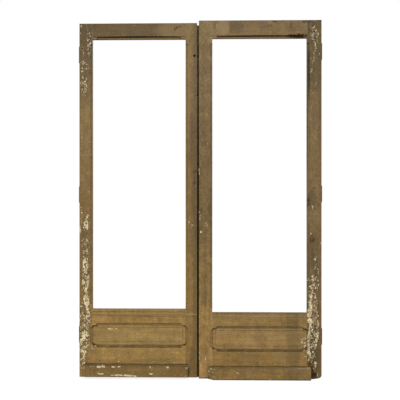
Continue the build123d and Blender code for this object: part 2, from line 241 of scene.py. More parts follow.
def makeWoodGrain():  # fibres, pores and broad figure on coordinates squeezed along the grain
    tree, entry, leave = newGroup(
        "wood grain", [("Vector", "Vector", None)],
        [("Fibre", "Float"), ("Pore", "Float"), ("Figure", "Float")])
    fibre = noiseOn(tree, entry["Vector"], effects["fibreScale"], 3.0, 0.6)
    pore = noiseOn(tree, entry["Vector"], effects["poreScale"], 1.0, 0.4)
    figure = noiseOn(tree, entry["Vector"], effects["figureScale"], 2.0, 0.5, effects["figureWarp"])
    tree.links.new(fibre, leave["Fibre"])
    tree.links.new(remap(tree, pore, *effects["poreSpan"]), leave["Pore"])
    tree.links.new(figure, leave["Figure"])
    return tree


def makeEdgeWear():  # arrises rubbed through, found by rounding the corners over
    tree, entry, leave = newGroup(
        "edge wear",
        [("Vector", "Vector", None), ("Radius", "Float", 0.003), ("Amount", "Float", 0.5)],
        [("Worn", "Float")])
    rounded = addNode(
        tree, "ShaderNodeBevel", {"Radius": entry["Radius"]}, samples=effects["arrisSamples"]).outputs[0]
    plain = addNode(tree, "ShaderNodeNewGeometry").outputs["Normal"]
    turned = calc(tree, "SUBTRACT", 1.0, vectorCalc(tree, "DOT_PRODUCT", rounded, plain, out="Value"))
    rubbed = noiseOn(tree, entry["Vector"], effects["rubScale"], 4.0, 0.65)
    worn = times(tree, remap(tree, turned, *effects["arrisSpan"]), remap(tree, rubbed, *effects["rubSpan"]))
    tree.links.new(times(tree, worn, entry["Amount"]), leave["Worn"])
    return tree


def makeCornerGrimeAndShade():  # darkening in corners and quirks, found by occlusion: some grime, and painted shade where shade falls
    tree, entry, leave = newGroup(
        "corner grime and shade",
        [("Vector", "Vector", None), ("Reach", "Float", 0.02), ("Start", "Float", 0.8),
         ("Amount", "Float", 0.7)],
        [("Darkened", "Float")])
    openness = addNode(
        tree, "ShaderNodeAmbientOcclusion", {"Distance": entry["Reach"]},
        samples=effects["cornerSamples"]).outputs["AO"]
    shut = remap(
        tree, openness, entry["Start"], calc(tree, "SUBTRACT", entry["Start"], effects["cornerSpan"]))
    patches = noiseOn(tree, entry["Vector"], effects["grimeScale"], 3.0, 0.6)
    uneven = remap(tree, patches, *effects["grimeSpan"], effects["grimeLeast"], 1.0)
    tree.links.new(times(tree, times(tree, shut, uneven), entry["Amount"]), leave["Darkened"])
    return tree


def makeRainMarks():  # long upright runs left by rain
    tree, entry, leave = newGroup(
        "rain marks", [("Vector", "Vector", None)], [("Dark", "Float"), ("Pale", "Float")])
    runs = noiseOn(tree, stretched(tree, entry["Vector"], effects["runScale"]), 1.0, 3.0, 0.55)
    fades = noiseOn(tree, entry["Vector"], effects["fadeScale"], 2.0, 0.5)
    for mark in ("Dark", "Pale"):
        run = remap(tree, runs, *effects["run" + mark])
        tree.links.new(times(tree, run, remap(tree, fades, *effects["fade" + mark])), leave[mark])
    return tree


wornArea = makeWornArea()
flaking = makeFlaking()
woodGrain = makeWoodGrain()
edgeWear = makeEdgeWear()
cornerGrimeAndShade = makeCornerGrimeAndShade()
rainMarks = makeRainMarks()
print("shared effects made")


# Old khaki paint over a cream coat over oak
paint = dict(
    cream=(240, 226, 182),
    creamDirty=(198, 174, 128),
    bareLight=(198, 166, 126),
    bareMiddle=(168, 136, 98),
    bareFibre=(118, 90, 58),
    bareDark=(74, 54, 32),
    pore=(60, 46, 26),
    cracked=(62, 47, 26),
    ledgeDirt=(52, 43, 26),
    # for stains, and for one band of painted shade along the left leaf's meeting edge
    stainAndShade=(62, 56, 38),
    # for grime in specks and corners, and for the painted shade in corners
    grimeAndShade=(44, 33, 18),
    # for faded paint, and for the painted highlights along lit chamfer edges
    faded=(160, 135, 92),
    # near-black painted shade: in quirks, in the gap between the leaves, in holes, and for dark lines along
    # top edges
    darkLinesAndShade=(20, 14, 8),
    rotDark=(24, 15, 6),
    rotBrown=(64, 42, 20),
    strength=1.10,  # the shine greys the paint, so its colour is a little stronger
    strengthDrift=0.02,
    driftScale=7.0,
    driftSpan=(0.35, 0.65),
    bandScale=5.0,  # wavy borders between the tones
    bandReach=0.30,
    noiseSpan=(0.30, 0.70),  # what the noise of the coat runs between
    cloudScale=16.0,
    cloudDark=0.17,
    cloudLight=0.15,
    patchScale=70.0,
    patchDepth=0.09,
    dabScale=95.0,
    dabDepth=0.11,
    speckleScale=210.0,
    speckleDepth=0.20,
    fibreDepth=0.06,
    rainDark=0.20,
    rainPale=0.14,
    failingSpan=(0.15, 0.60),  # darker where the coat is failing
    failingTone=0.74,
    poreShare=0.30,
    fadedShare=0.75,
    stainSpan=(0.30, 0.62),
    stainLeast=0.35,
    speckScale=330.0,
    speckSpan=(0.66, 0.74),
    speckShare=0.35,
    raggedScale=38.0,
    raggedUpright=(0.026, 0.0, 0.050),  # how far a worn place's outline wanders
    raggedLevel=(0.040, 0.0, 0.010),
    frayedScale=95.0,
    frayedReach=(0.050, 0.0, 0.050),
    rotSpan=(0.36, 0.56),
    rotLeast=0.45,
    grainSqueeze=0.045,
    chipSqueeze=0.62,
    flakeSize=84.0,  # more is smaller
    deeperSize=0.7,
    deeperShift=(0.7, 0.3, 0.5),
    deeperStart=0.18,
    primingScale=90.0,
    primingSpan=(0.40, 0.68),
    fibreSpan=(0.42, 0.72),
    poreInBare=0.8,
    rimShare=0.85,
    roomSpan=(0.6, 0.1),
    roomWear=0.55,  # the room side is less worn
    edgeRadius=0.0022,
    ledgeSpan=(0.20, 0.50),
    ledgeScale=24.0,
    ledgePatches=(0.30, 0.62),
    ledgeLeast=0.7,
    # how far the corners darken, and from what openness, with grime and painted shade; the crease is a
    # narrower, near-black painted shade in the quirks
    grimeAndShadeReach=0.020,
    grimeAndShadeStart=0.85,
    creaseReach=0.010,
    creaseStart=0.92,
    roughness=0.60,
    roughnessDown=0.03,
    roughnessUp=0.06,
    goneRoughness=0.82,
    # rougher and less shiny where dirt and painted shade lie
    dirtAndShadeRoughness=0.95,
    shine=0.30,
    dirtAndShadeShine=0.06,
    dirtAndShadeSpan=(0.0, 0.8),
    bumpStrength=0.8,
    bumpDepth=0.0009,
    relief=dict(fibre=0.22, pore=-0.16, patch=0.30, cloud=0.35, chip=-0.55, bare=-0.4, rim=0.18),
)


def painted(name):
    return colour(*paint[name])


def areas(tree, vector, rows, start=0.0):  # lays one oval over another, a row each
    amount = start
    for x, z, halfWidth, halfHeight, strength in rows:
        amount = useGroup(
            tree, wornArea, vector=vector, place=(x, 0.0, z), reach=(halfWidth, 1.0, halfHeight),
            amount=strength, before=amount)["Amount"]
    return amount


def paintedWood(name, tones, grain="upright", cream=(), bare=(), dark=(), faded=(), rot=(), pale=(),
                darkLinesAndShade=(), wear=0.5, base=0.0, grimeAndShadeAmount=0.75, ledges=0.6, creases=1.0, mottle=1.0, shift=0.0):
    material, tree, shader = newMaterial(name)
    upright = grain == "upright"
    coords = addNode(tree, "ShaderNodeTexCoord").outputs
    position = coords["Object"]
    away = stretched(tree, position, (1.0, 1.0, 1.0), (shift, 0.0, shift))  # so that no two pieces match
    outline = noiseOn(tree, away, paint["raggedScale"], 3.0, 0.6, out="Color")
    ragged = jittered(tree, position, outline, paint["raggedUpright"] if upright else paint["raggedLevel"])
    squeeze, chipSqueeze = paint["grainSqueeze"], paint["chipSqueeze"]
    lengthwise = stretched(tree, away, (1.0, 1.0, squeeze) if upright else (squeeze, 1.0, 1.0))
    chips = stretched(tree, away, (1.0, 1.0, chipSqueeze) if upright else (chipSqueeze, 1.0, 1.0))

    height = addNode(tree, "ShaderNodeSeparateXYZ", {"Vector": position}).outputs["Z"]
    facingWay = addNode(tree, "ShaderNodeSeparateXYZ", {"Vector": coords["Normal"]}).outputs
    notRoomSide = remap(tree, facingWay["Y"], *paint["roomSpan"])

    wood = useGroup(tree, woodGrain, vector=lengthwise)
    rain = useGroup(tree, rainMarks, vector=away)
    amount = areas(tree, ragged, cream, base)
    amount = times(tree, amount, remap(tree, notRoomSide, 0.0, 1.0, paint["roomWear"], 1.0))

    # top coat: tones that change with the height, then clouds, dabs, specks and rain
    low, high = tones[0][0], tones[-1][0]
    span = max(high - low, 0.01)
    start = calc(tree, "SUBTRACT", height, paint["bandReach"] / 2)
    wavy = calc(
        tree, "MULTIPLY_ADD", noiseOn(tree, away, paint["bandScale"], 2.0), paint["bandReach"], start)
    stops = [((z - low) / span, colour(*shade)) for z, shade in tones]
    coat = toned(tree, remap(tree, wavy, low, high, smooth=False), stops)
    cloud = noiseOn(tree, away, paint["cloudScale"], 4.0, 0.62, 0.3)
    patchy = noiseOn(tree, lengthwise, paint["patchScale"], 3.0, 0.6)
    speckle = noiseOn(tree, away, paint["speckleScale"], 3.0, 0.7)
    dabs = noiseOn(tree, chips, paint["dabScale"], 2.0, 0.6)
    darkest = 1.0 - paint["cloudDark"] * mottle
    lightest = 1.0 + paint["cloudLight"] * mottle
    vary = remap(tree, cloud, *paint["noiseSpan"], darkest, lightest)
    depths = (
        (patchy, paint["patchDepth"] * mottle), (dabs, paint["dabDepth"] * mottle),
        (speckle, paint["speckleDepth"] * mottle), (wood["Fibre"], -paint["fibreDepth"]))
    for noise, depth in depths:
        vary = times(tree, vary, remap(tree, noise, *paint["noiseSpan"], 1.0 - depth, 1.0 + depth))
    vary = times(tree, vary, calc(tree, "MULTIPLY_ADD", rain["Dark"], -paint["rainDark"], 1.0))
    vary = times(tree, vary, calc(tree, "MULTIPLY_ADD", rain["Pale"], paint["rainPale"], 1.0))
    vary = times(tree, vary, remap(tree, amount, *paint["failingSpan"], 1.0, paint["failingTone"]))
    coat = scaled(tree, coat, vary)
    coat = mixed(tree, times(tree, wood["Pore"], paint["poreShare"]), coat, painted("pore"))
    if faded:
        bleached = times(tree, areas(tree, ragged, faded), paint["fadedShare"])
        coat = mixed(tree, bleached, coat, painted("faded"))
    if dark:
        uneven = remap(tree, cloud, *paint["stainSpan"], paint["stainLeast"], 1.0)
        coat = mixed(tree, times(tree, areas(tree, ragged, dark), uneven), coat, painted("stainAndShade"))
    specks = remap(tree, noiseOn(tree, away, paint["speckScale"], 1.0, 0.5), *paint["speckSpan"])
    coat = mixed(tree, times(tree, specks, paint["speckShare"]), coat, painted("grimeAndShade"))
    drift = remap(
        tree, noiseOn(tree, away, paint["driftScale"], 2.0), *paint["driftSpan"],
        paint["strength"] - paint["strengthDrift"], paint["strength"] + paint["strengthDrift"])
    coat = addNode(tree, "ShaderNodeHueSaturation", {"Saturation": drift, "Color": coat}).outputs[0]

    # what shows where the coat is gone: the cream coat, and bare oak where that is gone too
    chipped = useGroup(tree, flaking, vector=chips, amount=amount, size=paint["flakeSize"])
    worn = useGroup(tree, edgeWear, vector=away, radius=paint["edgeRadius"], amount=wear)["Worn"]
    gone = larger(tree, chipped["Gone"], worn)
    soiled = remap(tree, noiseOn(tree, chips, paint["primingScale"], 4.0, 0.65), *paint["primingSpan"])
    priming = mixed(tree, soiled, painted("cream"), painted("creamDirty"))
    oak = mixed(tree, wood["Figure"], painted("bareLight"), painted("bareMiddle"))
    oak = mixed(tree, remap(tree, wood["Fibre"], *paint["fibreSpan"]), oak, painted("bareFibre"))
    oak = mixed(tree, times(tree, wood["Pore"], paint["poreInBare"]), oak, painted("bareDark"))
    deeper = areas(tree, ragged, bare, paint["deeperStart"])
    through = useGroup(
        tree, flaking, vector=stretched(tree, chips, (1.0, 1.0, 1.0), paint["deeperShift"]),
        amount=deeper, size=paint["flakeSize"] * paint["deeperSize"])["Gone"]
    surface = mixed(tree, gone, coat, mixed(tree, through, priming, oak))
    surface = mixed(tree, times(tree, chipped["Rim"], paint["rimShare"]), surface, painted("cracked"))

    # dirt on ledges; grime and painted shade in corners, near-black painted shade in quirks; then rot, pale
    # lines (mostly painted highlights) and near-black painted shade in gaps and holes
    settled = remap(tree, facingWay["Z"], *paint["ledgeSpan"], 0.0, ledges)
    patches = noiseOn(tree, away, paint["ledgeScale"], 4.0, 0.6)
    ledge = times(tree, settled, remap(tree, patches, *paint["ledgePatches"], paint["ledgeLeast"], 1.0))
    surface = mixed(tree, ledge, surface, painted("ledgeDirt"))
    # darker in corners: grime, and painted shade
    grimeAndShade = useGroup(
        tree, cornerGrimeAndShade, vector=away, reach=paint["grimeAndShadeReach"], start=paint["grimeAndShadeStart"],
        amount=grimeAndShadeAmount)["Darkened"]
    surface = mixed(tree, grimeAndShade, surface, painted("grimeAndShade"))
    # near-black in the quirks: painted shade
    crease = useGroup(
        tree, cornerGrimeAndShade, vector=away, reach=paint["creaseReach"], start=paint["creaseStart"],
        amount=creases)["Darkened"]
    surface = mixed(tree, crease, surface, painted("darkLinesAndShade"))
    # where dirt and painted shade lie, for the roughness and shine below
    dirtAndShade = larger(tree, ledge, larger(tree, grimeAndShade, crease))
    if rot:
        outline = noiseOn(tree, away, paint["frayedScale"], 3.0, 0.7, out="Color")
        frayed = jittered(tree, position, outline, paint["frayedReach"])
        fibrous = remap(tree, wood["Fibre"], *paint["rotSpan"], paint["rotLeast"], 1.0)
        decay = times(tree, areas(tree, frayed, rot), fibrous)
        surface = mixed(tree, decay, surface, mixed(tree, dabs, painted("rotDark"), painted("rotBrown")))
        dirtAndShade = larger(tree, dirtAndShade, decay)
    # pale lines: mostly painted highlights along lit chamfer edges, in the faded paint's colour; one is a
    # pale ring round a hole
    if pale:
        surface = mixed(tree, areas(tree, position, pale), surface, painted("faded"))
    # near-black: painted shade in the gap between the leaves, in holes and quirks, and dark lines along top
    # edges
    if darkLinesAndShade:
        darkLinesAndShadeMask = areas(tree, position, darkLinesAndShade)
        surface = mixed(tree, darkLinesAndShadeMask, surface, painted("darkLinesAndShade"))
        dirtAndShade = larger(tree, dirtAndShade, darkLinesAndShadeMask)
    feed(tree, shader.inputs["Base Color"], surface)

    gloss = remap(
        tree, cloud, *paint["noiseSpan"], paint["roughness"] - paint["roughnessDown"],
        paint["roughness"] + paint["roughnessUp"])
    rough = larger(tree, gloss, times(tree, gone, paint["goneRoughness"]))
    rough = larger(tree, rough, times(tree, dirtAndShade, paint["dirtAndShadeRoughness"]))
    feed(tree, shader.inputs["Roughness"], rough)
    shine = remap(tree, dirtAndShade, *paint["dirtAndShadeSpan"], paint["shine"], paint["dirtAndShadeShine"])
    feed(tree, shader.inputs["Specular IOR Level"], shine)

    rise = paint["relief"]
    relief = times(tree, wood["Fibre"], rise["fibre"])
    steps = (
        (wood["Pore"], rise["pore"]), (patchy, rise["patch"]), (cloud, rise["cloud"]),
        (chipped["Gone"], rise["chip"]), (through, times(tree, gone, rise["bare"])),
        (chipped["Rim"], rise["rim"]))
    for mask, step in steps:
        relief = calc(tree, "MULTIPLY_ADD", mask, step, relief)
    addBump(tree, shader, relief, paint["bumpStrength"], paint["bumpDepth"])
    return material


def dress(node, material):
    mesh = nodes[node].data
    mesh.materials.clear()
    mesh.materials.append(material)


# Tones are (height, colour); the other rows are (x, z, half width, half height, amount), in metres
# Pale rows are mostly painted highlights along lit chamfer edges; the rows drawn in near-black are painted
# shade in gaps, holes and quirks, and dark lines along top edges
leftOuterStile = dict(
    tones=[
        (0.0, (154, 123, 77)), (0.35, (144, 116, 72)), (0.8, (132, 108, 71)), (1.2, (133, 109, 71)),
        (1.55, (140, 117, 78)), (1.85, (118, 97, 65)), (2.1, (100, 82, 54)), (2.2, (95, 78, 50))],
    cream=[
        (-0.738, 2.155, 0.009, 0.025, 0.46), (-0.694, 2.155, 0.009, 0.012, 0.6),
        (-0.691, 2.108, 0.009, 0.022, 0.5), (-0.684, 2.06, 0.014, 0.12, 0.54),
        (-0.736, 2.15, 0.006, 0.04, 0.52), (-0.725, 1.994, 0.019, 0.025, 0.36),
        (-0.716, 1.846, 0.028, 0.124, 0.4), (-0.722, 1.948, 0.019, 0.015, 0.55),
        (-0.725, 1.852, 0.009, 0.025, 0.55), (-0.707, 1.815, 0.015, 0.037, 0.5),
        (-0.707, 1.765, 0.009, 0.031, 0.5), (-0.728, 1.493, 0.004, 0.179, 0.36),
        (-0.733, 1.024, 0.005, 0.08, 0.44), (-0.71, 0.776, 0.028, 0.29, 0.36),
        (-0.697, 1.005, 0.009, 0.019, 0.62), (-0.704, 0.94, 0.019, 0.046, 0.7),
        (-0.74, 0.909, 0.006, 0.028, 0.8), (-0.697, 0.841, 0.009, 0.022, 0.62),
        (-0.697, 0.786, 0.009, 0.034, 0.62), (-0.713, 0.776, 0.016, 0.012, 0.66),
        (-0.707, 0.693, 0.022, 0.065, 0.72), (-0.713, 0.594, 0.022, 0.022, 0.6),
        (-0.703, 0.557, 0.005, 0.028, 0.6), (-0.7, 0.477, 0.022, 0.046, 0.78),
        (-0.724, 0.471, 0.008, 0.015, 0.55), (-0.694, 0.396, 0.019, 0.04, 0.66),
        (-0.711, 0.319, 0.017, 0.019, 0.72), (-0.711, 0.267, 0.02, 0.034, 0.76),
        (-0.728, 0.226, 0.016, 0.025, 0.78), (-0.733, 0.174, 0.012, 0.019, 0.8),
        (-0.721, 0.124, 0.026, 0.034, 0.45), (-0.745, 0.063, 0.005, 0.04, 0.62),
        (-0.711, 0.33, 0.04, 0.19, 0.51), (-0.706, 0.64, 0.03, 0.13, 0.52),
        (-0.7, 0.5, 0.012, 0.18, 0.7), (-0.722, 0.18, 0.024, 0.06, 0.6),
        (-0.724, 0.095, 0.026, 0.09, 0.47), (-0.671, 0.186, 0.012, 0.024, 0.74)],
    bare=[
        (-0.671, 0.186, 0.012, 0.026, 0.9), (-0.745, 0.06, 0.005, 0.043, 0.6),
        (-0.707, 0.443, 0.019, 0.068, 0.3), (-0.712, 0.3, 0.03, 0.16, 0.3)],
    dark=[
        (-0.68, 1.885, 0.01, 0.02, 0.55), (-0.744, 1.7, 0.004, 0.5, 0.5),
        (-0.744, 0.5, 0.004, 0.4, 0.6)],
    pale=[(-0.7285, 2.033, 0.011, 0.01, 0.75)],
    darkLinesAndShade=[(-0.7285, 2.033, 0.006, 0.006, 1.0)],
    base=0.14, wear=0.45, shift=0.0)

rightOuterStile = dict(
    tones=[
        (0.0, (104, 84, 53)), (0.25, (108, 88, 57)), (0.45, (116, 96, 65)), (0.75, (112, 93, 64)),
        (1.1, (127, 105, 70)), (1.6, (128, 106, 73)), (1.85, (102, 85, 57)), (2.2, (99, 82, 54))],
    cream=[
        (0.705, 2.185, 0.007, 0.025, 0.55), (0.699, 2.118, 0.031, 0.068, 0.5),
        (0.705, 2.105, 0.015, 0.037, 0.58), (0.708, 2.038, 0.005, 0.043, 0.58),
        (0.695, 1.976, 0.006, 0.037, 0.55), (0.69, 1.902, 0.022, 0.037, 0.3),
        (0.74, 1.285, 0.004, 0.015, 0.5), (0.732, 1.22, 0.004, 0.012, 0.5),
        (0.689, 1.058, 0.006, 0.028, 0.5), (0.6816, 0.889, 0.007, 0.009, 0.8),
        (0.69, 1.051, 0.003, 0.018, 0.74), (0.692, 0.585, 0.038, 0.06, 0.56),
        (0.708, 0.67, 0.006, 0.06, 0.7), (0.684, 1.167, 0.007, 0.004, 0.6),
        (0.709, 0.692, 0.007, 0.061, 0.52), (0.725, 0.667, 0.006, 0.031, 0.5),
        (0.699, 0.587, 0.04, 0.061, 0.46), (0.687, 0.52, 0.015, 0.037, 0.66),
        (0.674, 0.403, 0.019, 0.092, 0.8), (0.708, 0.332, 0.018, 0.089, 0.58),
        (0.669, 0.237, 0.015, 0.086, 0.74), (0.71, 0.268, 0.014, 0.025, 0.68),
        (0.667, 0.179, 0.011, 0.028, 0.74), (0.684, 0.139, 0.015, 0.037, 0.52),
        (0.705, 0.097, 0.01, 0.018, 0.6), (0.716, 0.026, 0.006, 0.01, 0.85),
        (0.6745, 0.062, 0.004, 0.005, 0.85), (0.688, 0.057, 0.004, 0.004, 0.85),
        (0.667, 0.135, 0.014, 0.035, 0.7), (0.695, 0.33, 0.034, 0.23, 0.56),
        (0.704, 0.43, 0.019, 0.12, 0.72), (0.682, 0.4, 0.024, 0.2, 0.66),
        (0.668, 0.2, 0.014, 0.11, 0.74), (0.712, 0.3, 0.018, 0.11, 0.62),
        (0.69, 0.062, 0.012, 0.02, 0.45)],
    bare=[
        (0.668, 0.114, 0.013, 0.049, 0.8), (0.687, 0.68, 0.018, 0.061, 0.45),
        (0.708, 0.67, 0.008, 0.065, 0.85), (0.692, 0.585, 0.036, 0.06, 0.55),
        (0.708, 0.36, 0.018, 0.074, 0.55), (0.673, 0.323, 0.02, 0.16, 0.46),
        (0.695, 2.1, 0.026, 0.085, 0.58), (0.699, 0.034, 0.018, 0.031, 0.9),
        (0.702, 0.42, 0.021, 0.14, 0.86), (0.705, 0.27, 0.018, 0.06, 0.62)],
    dark=[
        (0.738, 1.5, 0.012, 0.45, 0.3), (0.687, 0.855, 0.018, 0.03, 0.7),
        (0.685, 1.1, 0.026, 0.06, 0.6), (0.687, 0.75, 0.012, 0.08, 0.6),
        (0.727, 1.069, 0.006, 0.008, 0.8), (0.6975, 1.171, 0.007, 0.006, 0.8),
        (0.72, 0.14, 0.02, 0.07, 0.45), (0.667, 2.19, 0.014, 0.014, 0.9),
        (0.686, 0.4, 0.018, 0.1, 0.45)],
    rot=[
        (0.696, 0.024, 0.02, 0.02, 1.0), (0.668, 0.097, 0.014, 0.008, 1.0),
        (0.685, 0.055, 0.009, 0.042, 0.9), (0.664, 0.135, 0.004, 0.022, 0.7),
        (0.68, 0.17, 0.004, 0.03, 0.6), (0.694, 0.11, 0.005, 0.014, 0.85),
        (0.6657, 1.088, 0.007, 0.03, 0.7), (0.695, 0.851, 0.005, 0.009, 0.85),
        (0.674, 0.853, 0.008, 0.014, 0.55), (0.728, 2.2, 0.02, 0.004, 0.8)],
    darkLinesAndShade=[
        (0.664, 1.88, 0.005, 0.16, 0.4), (0.6685, 1.88, 0.0026, 0.165, 0.8),
        (0.6575, 1.55, 0.0035, 0.35, 0.45), (0.679, 0.2, 0.002, 0.09, 0.35)],
    base=0.14, wear=0.5, shift=3.1)

leftMeetingStile = dict(
    tones=[
        (0.0, (136, 109, 68)), (0.6, (141, 115, 73)), (1.0, (128, 104, 68)), (1.5, (125, 102, 69)),
        (1.8, (130, 107, 73)), (2.2, (129, 109, 74))],
    cream=[
        (-0.034, 1.755, 0.004, 0.006, 0.6), (-0.0185, 1.0, 0.003, 0.9, 0.22),
        (-0.067, 0.96, 0.006, 0.008, 0.6), (-0.05, 0.942, 0.008, 0.012, 0.5)],
    dark=[
        # the first row is painted shade along the meeting edge
        (-0.026, 1.1, 0.022, 1.4, 0.55), (-0.036, 0.1, 0.03, 0.12, 0.55),
        (-0.05, 1.45, 0.016, 0.25, 0.22), (-0.045, 1.5, 0.012, 0.03, 0.55),
        (-0.034, 1.238, 0.012, 0.04, 0.7)],
    rot=[
        (-0.0305, 1.272, 0.005, 0.006, 0.95), (-0.0355, 1.26, 0.004, 0.005, 0.9),
        (-0.032, 1.204, 0.008, 0.008, 0.9)],
    faded=[(-0.072, 1.8, 0.012, 0.4, 0.35)],
    # painted shade on the nose in the gap between the leaves, and in the lock holes
    darkLinesAndShade=[
        (-0.006, 0.6, 0.012, 1.45, 0.92), (-0.006, 1.95, 0.012, 0.2, 0.55),
        (-0.054, 2.187, 0.05, 0.005, 0.6), (-0.0345, 1.984, 0.008, 0.008, 1.0),
        (-0.0135, 1.983, 0.007, 0.007, 1.0), (-0.0135, 1.744, 0.007, 0.008, 1.0),
        (-0.062, 0.3835, 0.042, 0.0024, 0.38)],
    pale=[(-0.062, 0.3945, 0.042, 0.0045, 0.75)],
    wear=0.3, shift=6.4)

rightMeetingStile = dict(
    tones=[
        (0.0, (157, 127, 84)), (0.35, (154, 125, 82)), (0.6, (136, 112, 74)), (1.0, (123, 101, 68)),
        (1.4, (126, 103, 71)), (1.8, (129, 107, 75)), (2.2, (135, 114, 80))],
    cream=[
        (0.036, 0.128, 0.005, 0.007, 0.85), (-0.006, 0.12, 0.004, 0.07, 0.5),
        (-0.002, 1.01, 0.006, 0.035, 0.56), (0.0046, 0.904, 0.006, 0.006, 0.95),
        (0.036, 0.95, 0.012, 0.016, 0.46), (-0.005, 1.25, 0.003, 0.14, 0.4)],
    faded=[(0.036, 0.945, 0.016, 0.02, 0.75), (0.022, 1.4, 0.012, 0.035, 0.45)],
    dark=[
        (0.03, 1.2, 0.03, 0.35, 0.22), (0.01, 1.035, 0.011, 0.024, 0.7),
        (0.054, 1.045, 0.012, 0.028, 0.6)],
    darkLinesAndShade=[(0.034, 2.203, 0.06, 0.006, 0.6)],
    wear=0.35, mottle=1.3, shift=9.2)

leftTopRail = dict(
    tones=[(2.0, (110, 91, 61)), (2.2, (102, 84, 55))],
    dark=[
        (-0.651, 2.17, 0.019, 0.009, 0.6), (-0.521, 2.13, 0.037, 0.019, 0.3),
        (-0.158, 2.15, 0.006, 0.014, 1.0), (-0.142, 2.158, 0.005, 0.011, 0.95),
        (-0.124, 2.163, 0.01, 0.007, 0.95)],
    faded=[(-0.16, 2.14, 0.11, 0.06, 0.55)],
    cream=[(-0.41, 2.172, 0.004, 0.004, 0.8)],
    pale=[(-0.385, 2.094, 0.3, 0.0052, 0.55)],
    darkLinesAndShade=[(-0.376, 2.188, 0.4, 0.005, 0.6), (-0.385, 2.102, 0.3, 0.0036, 1.0)],
    grain="level", shift=12.5)

rightTopRail = dict(
    tones=[(2.0, (136, 112, 77)), (2.2, (126, 104, 72))],
    dark=[
        (0.461, 2.192, 0.02, 0.007, 0.9), (0.56, 2.165, 0.012, 0.03, 0.55),
        (0.64, 2.192, 0.018, 0.01, 0.85), (0.22, 2.158, 0.048, 0.04, 0.45),
        (0.42, 2.165, 0.026, 0.012, 0.55)],
    cream=[(0.104, 2.15, 0.002, 0.04, 0.56)],
    pale=[(0.141, 2.158, 0.04, 0.048, 0.55), (0.33, 2.0965, 0.24, 0.0048, 0.5)],
    rot=[(0.6, 2.103, 0.07, 0.013, 1.0)],
    darkLinesAndShade=[(0.366, 2.203, 0.4, 0.006, 0.6), (0.366, 2.1045, 0.3, 0.0036, 1.0)],
    grain="level", shift=15.7)

leftMiddleRail = dict(
    tones=[(0.3, (163, 131, 84)), (0.43, (152, 124, 77))],
    cream=[(-0.648, 0.413, 0.016, 0.005, 0.45)],
    pale=[(-0.376, 0.3945, 0.42, 0.0045, 0.8)],
    darkLinesAndShade=[(-0.376, 0.3835, 0.42, 0.0024, 0.4), (-0.376, 0.4095, 0.42, 0.0022, 0.45)],
    grain="level", ledges=0.25, creases=0.45, shift=18.2)

rightMiddleRail = dict(
    tones=[(0.3, (144, 118, 76)), (0.41, (140, 115, 74))],
    dark=[(0.57, 0.36, 0.043, 0.12, 0.42)],
    faded=[(0.4, 0.378, 0.11, 0.012, 0.4)],
    pale=[(0.366, 0.372, 0.42, 0.0036, 0.6), (0.36, 0.385, 0.3, 0.0022, 0.5)],
    darkLinesAndShade=[(0.366, 0.3985, 0.42, 0.0024, 0.4)],
    grain="level", ledges=0.25, creases=0.45, shift=21.3)

leftBottomRail = dict(
    tones=[(0.0, (158, 129, 83)), (0.2, (157, 129, 83))],
    cream=[
        (-0.653, 0.188, 0.012, 0.014, 0.8), (-0.29, 0.106, 0.006, 0.004, 0.6),
        (-0.182, 0.112, 0.004, 0.004, 0.6), (-0.5, 0.104, 0.006, 0.003, 0.6),
        (-0.3, 0.175, 0.004, 0.004, 0.5)],
    bare=[(-0.653, 0.188, 0.016, 0.02, 0.9)],
    dark=[(-0.3, 0.11, 0.16, 0.012, 0.34)],
    grain="level", ledges=0.75, grimeAndShadeAmount=0.5, shift=24.6)

rightBottomRail = dict(
    tones=[(0.0, (142, 115, 72)), (0.18, (141, 114, 72))],
    dark=[(0.57, 0.13, 0.043, 0.06, 0.42), (0.25, 0.15, 0.1, 0.03, 0.2)],
    cream=[(0.648, 0.145, 0.01, 0.03, 0.62)],
    bare=[(0.648, 0.145, 0.012, 0.034, 0.9)],
    faded=[(0.5, 0.14, 0.07, 0.04, 0.4)],
    grain="level", ledges=0.75, grimeAndShadeAmount=0.5, shift=27.9)

leftPanel = dict(
    tones=[(0.2, (160, 133, 87)), (0.33, (159, 132, 86))],
    cream=[
        (-0.563, 0.3045, 0.014, 0.0035, 0.92), (-0.548, 0.301, 0.012, 0.003, 0.9),
        (-0.515, 0.301, 0.005, 0.004, 0.9), (-0.245, 0.236, 0.008, 0.003, 0.8)],
    dark=[(-0.4506, 0.257, 0.004, 0.005, 0.9), (-0.2, 0.282, 0.1, 0.02, 0.22)],
    grain="level", shift=31.0)

rightPanel = dict(
    tones=[(0.18, (154, 126, 84)), (0.31, (153, 125, 83))],
    cream=[
        (0.634, 0.219, 0.022, 0.043, 0.58), (0.643, 0.203, 0.012, 0.028, 0.6),
        (0.638, 0.305, 0.009, 0.011, 0.55)],
    dark=[(0.57, 0.245, 0.043, 0.09, 0.42)],
    grain="level", shift=34.1)

leftWeatherBar = dict(
    tones=[(0.0, (128, 104, 65)), (0.09, (122, 98, 62))],
    cream=[
        (-0.67, 0.081, 0.037, 0.005, 0.46), (-0.604, 0.078, 0.03, 0.008, 0.78),
        (-0.525, 0.079, 0.022, 0.005, 0.68), (-0.492, 0.08, 0.01, 0.004, 0.68),
        (-0.379, 0.08, 0.008, 0.006, 0.66), (-0.305, 0.078, 0.008, 0.006, 0.7),
        (-0.193, 0.077, 0.013, 0.006, 0.72), (-0.083, 0.076, 0.012, 0.008, 0.56),
        (-0.606, 0.036, 0.034, 0.005, 0.78), (-0.478, 0.028, 0.086, 0.006, 0.82),
        (-0.4, 0.022, 0.04, 0.004, 0.7), (-0.299, 0.038, 0.014, 0.005, 0.76),
        (-0.089, 0.03, 0.01, 0.01, 0.46)],
    grain="level", base=0.12, ledges=0.35, grimeAndShadeAmount=0.6, wear=0.55, shift=37.2)

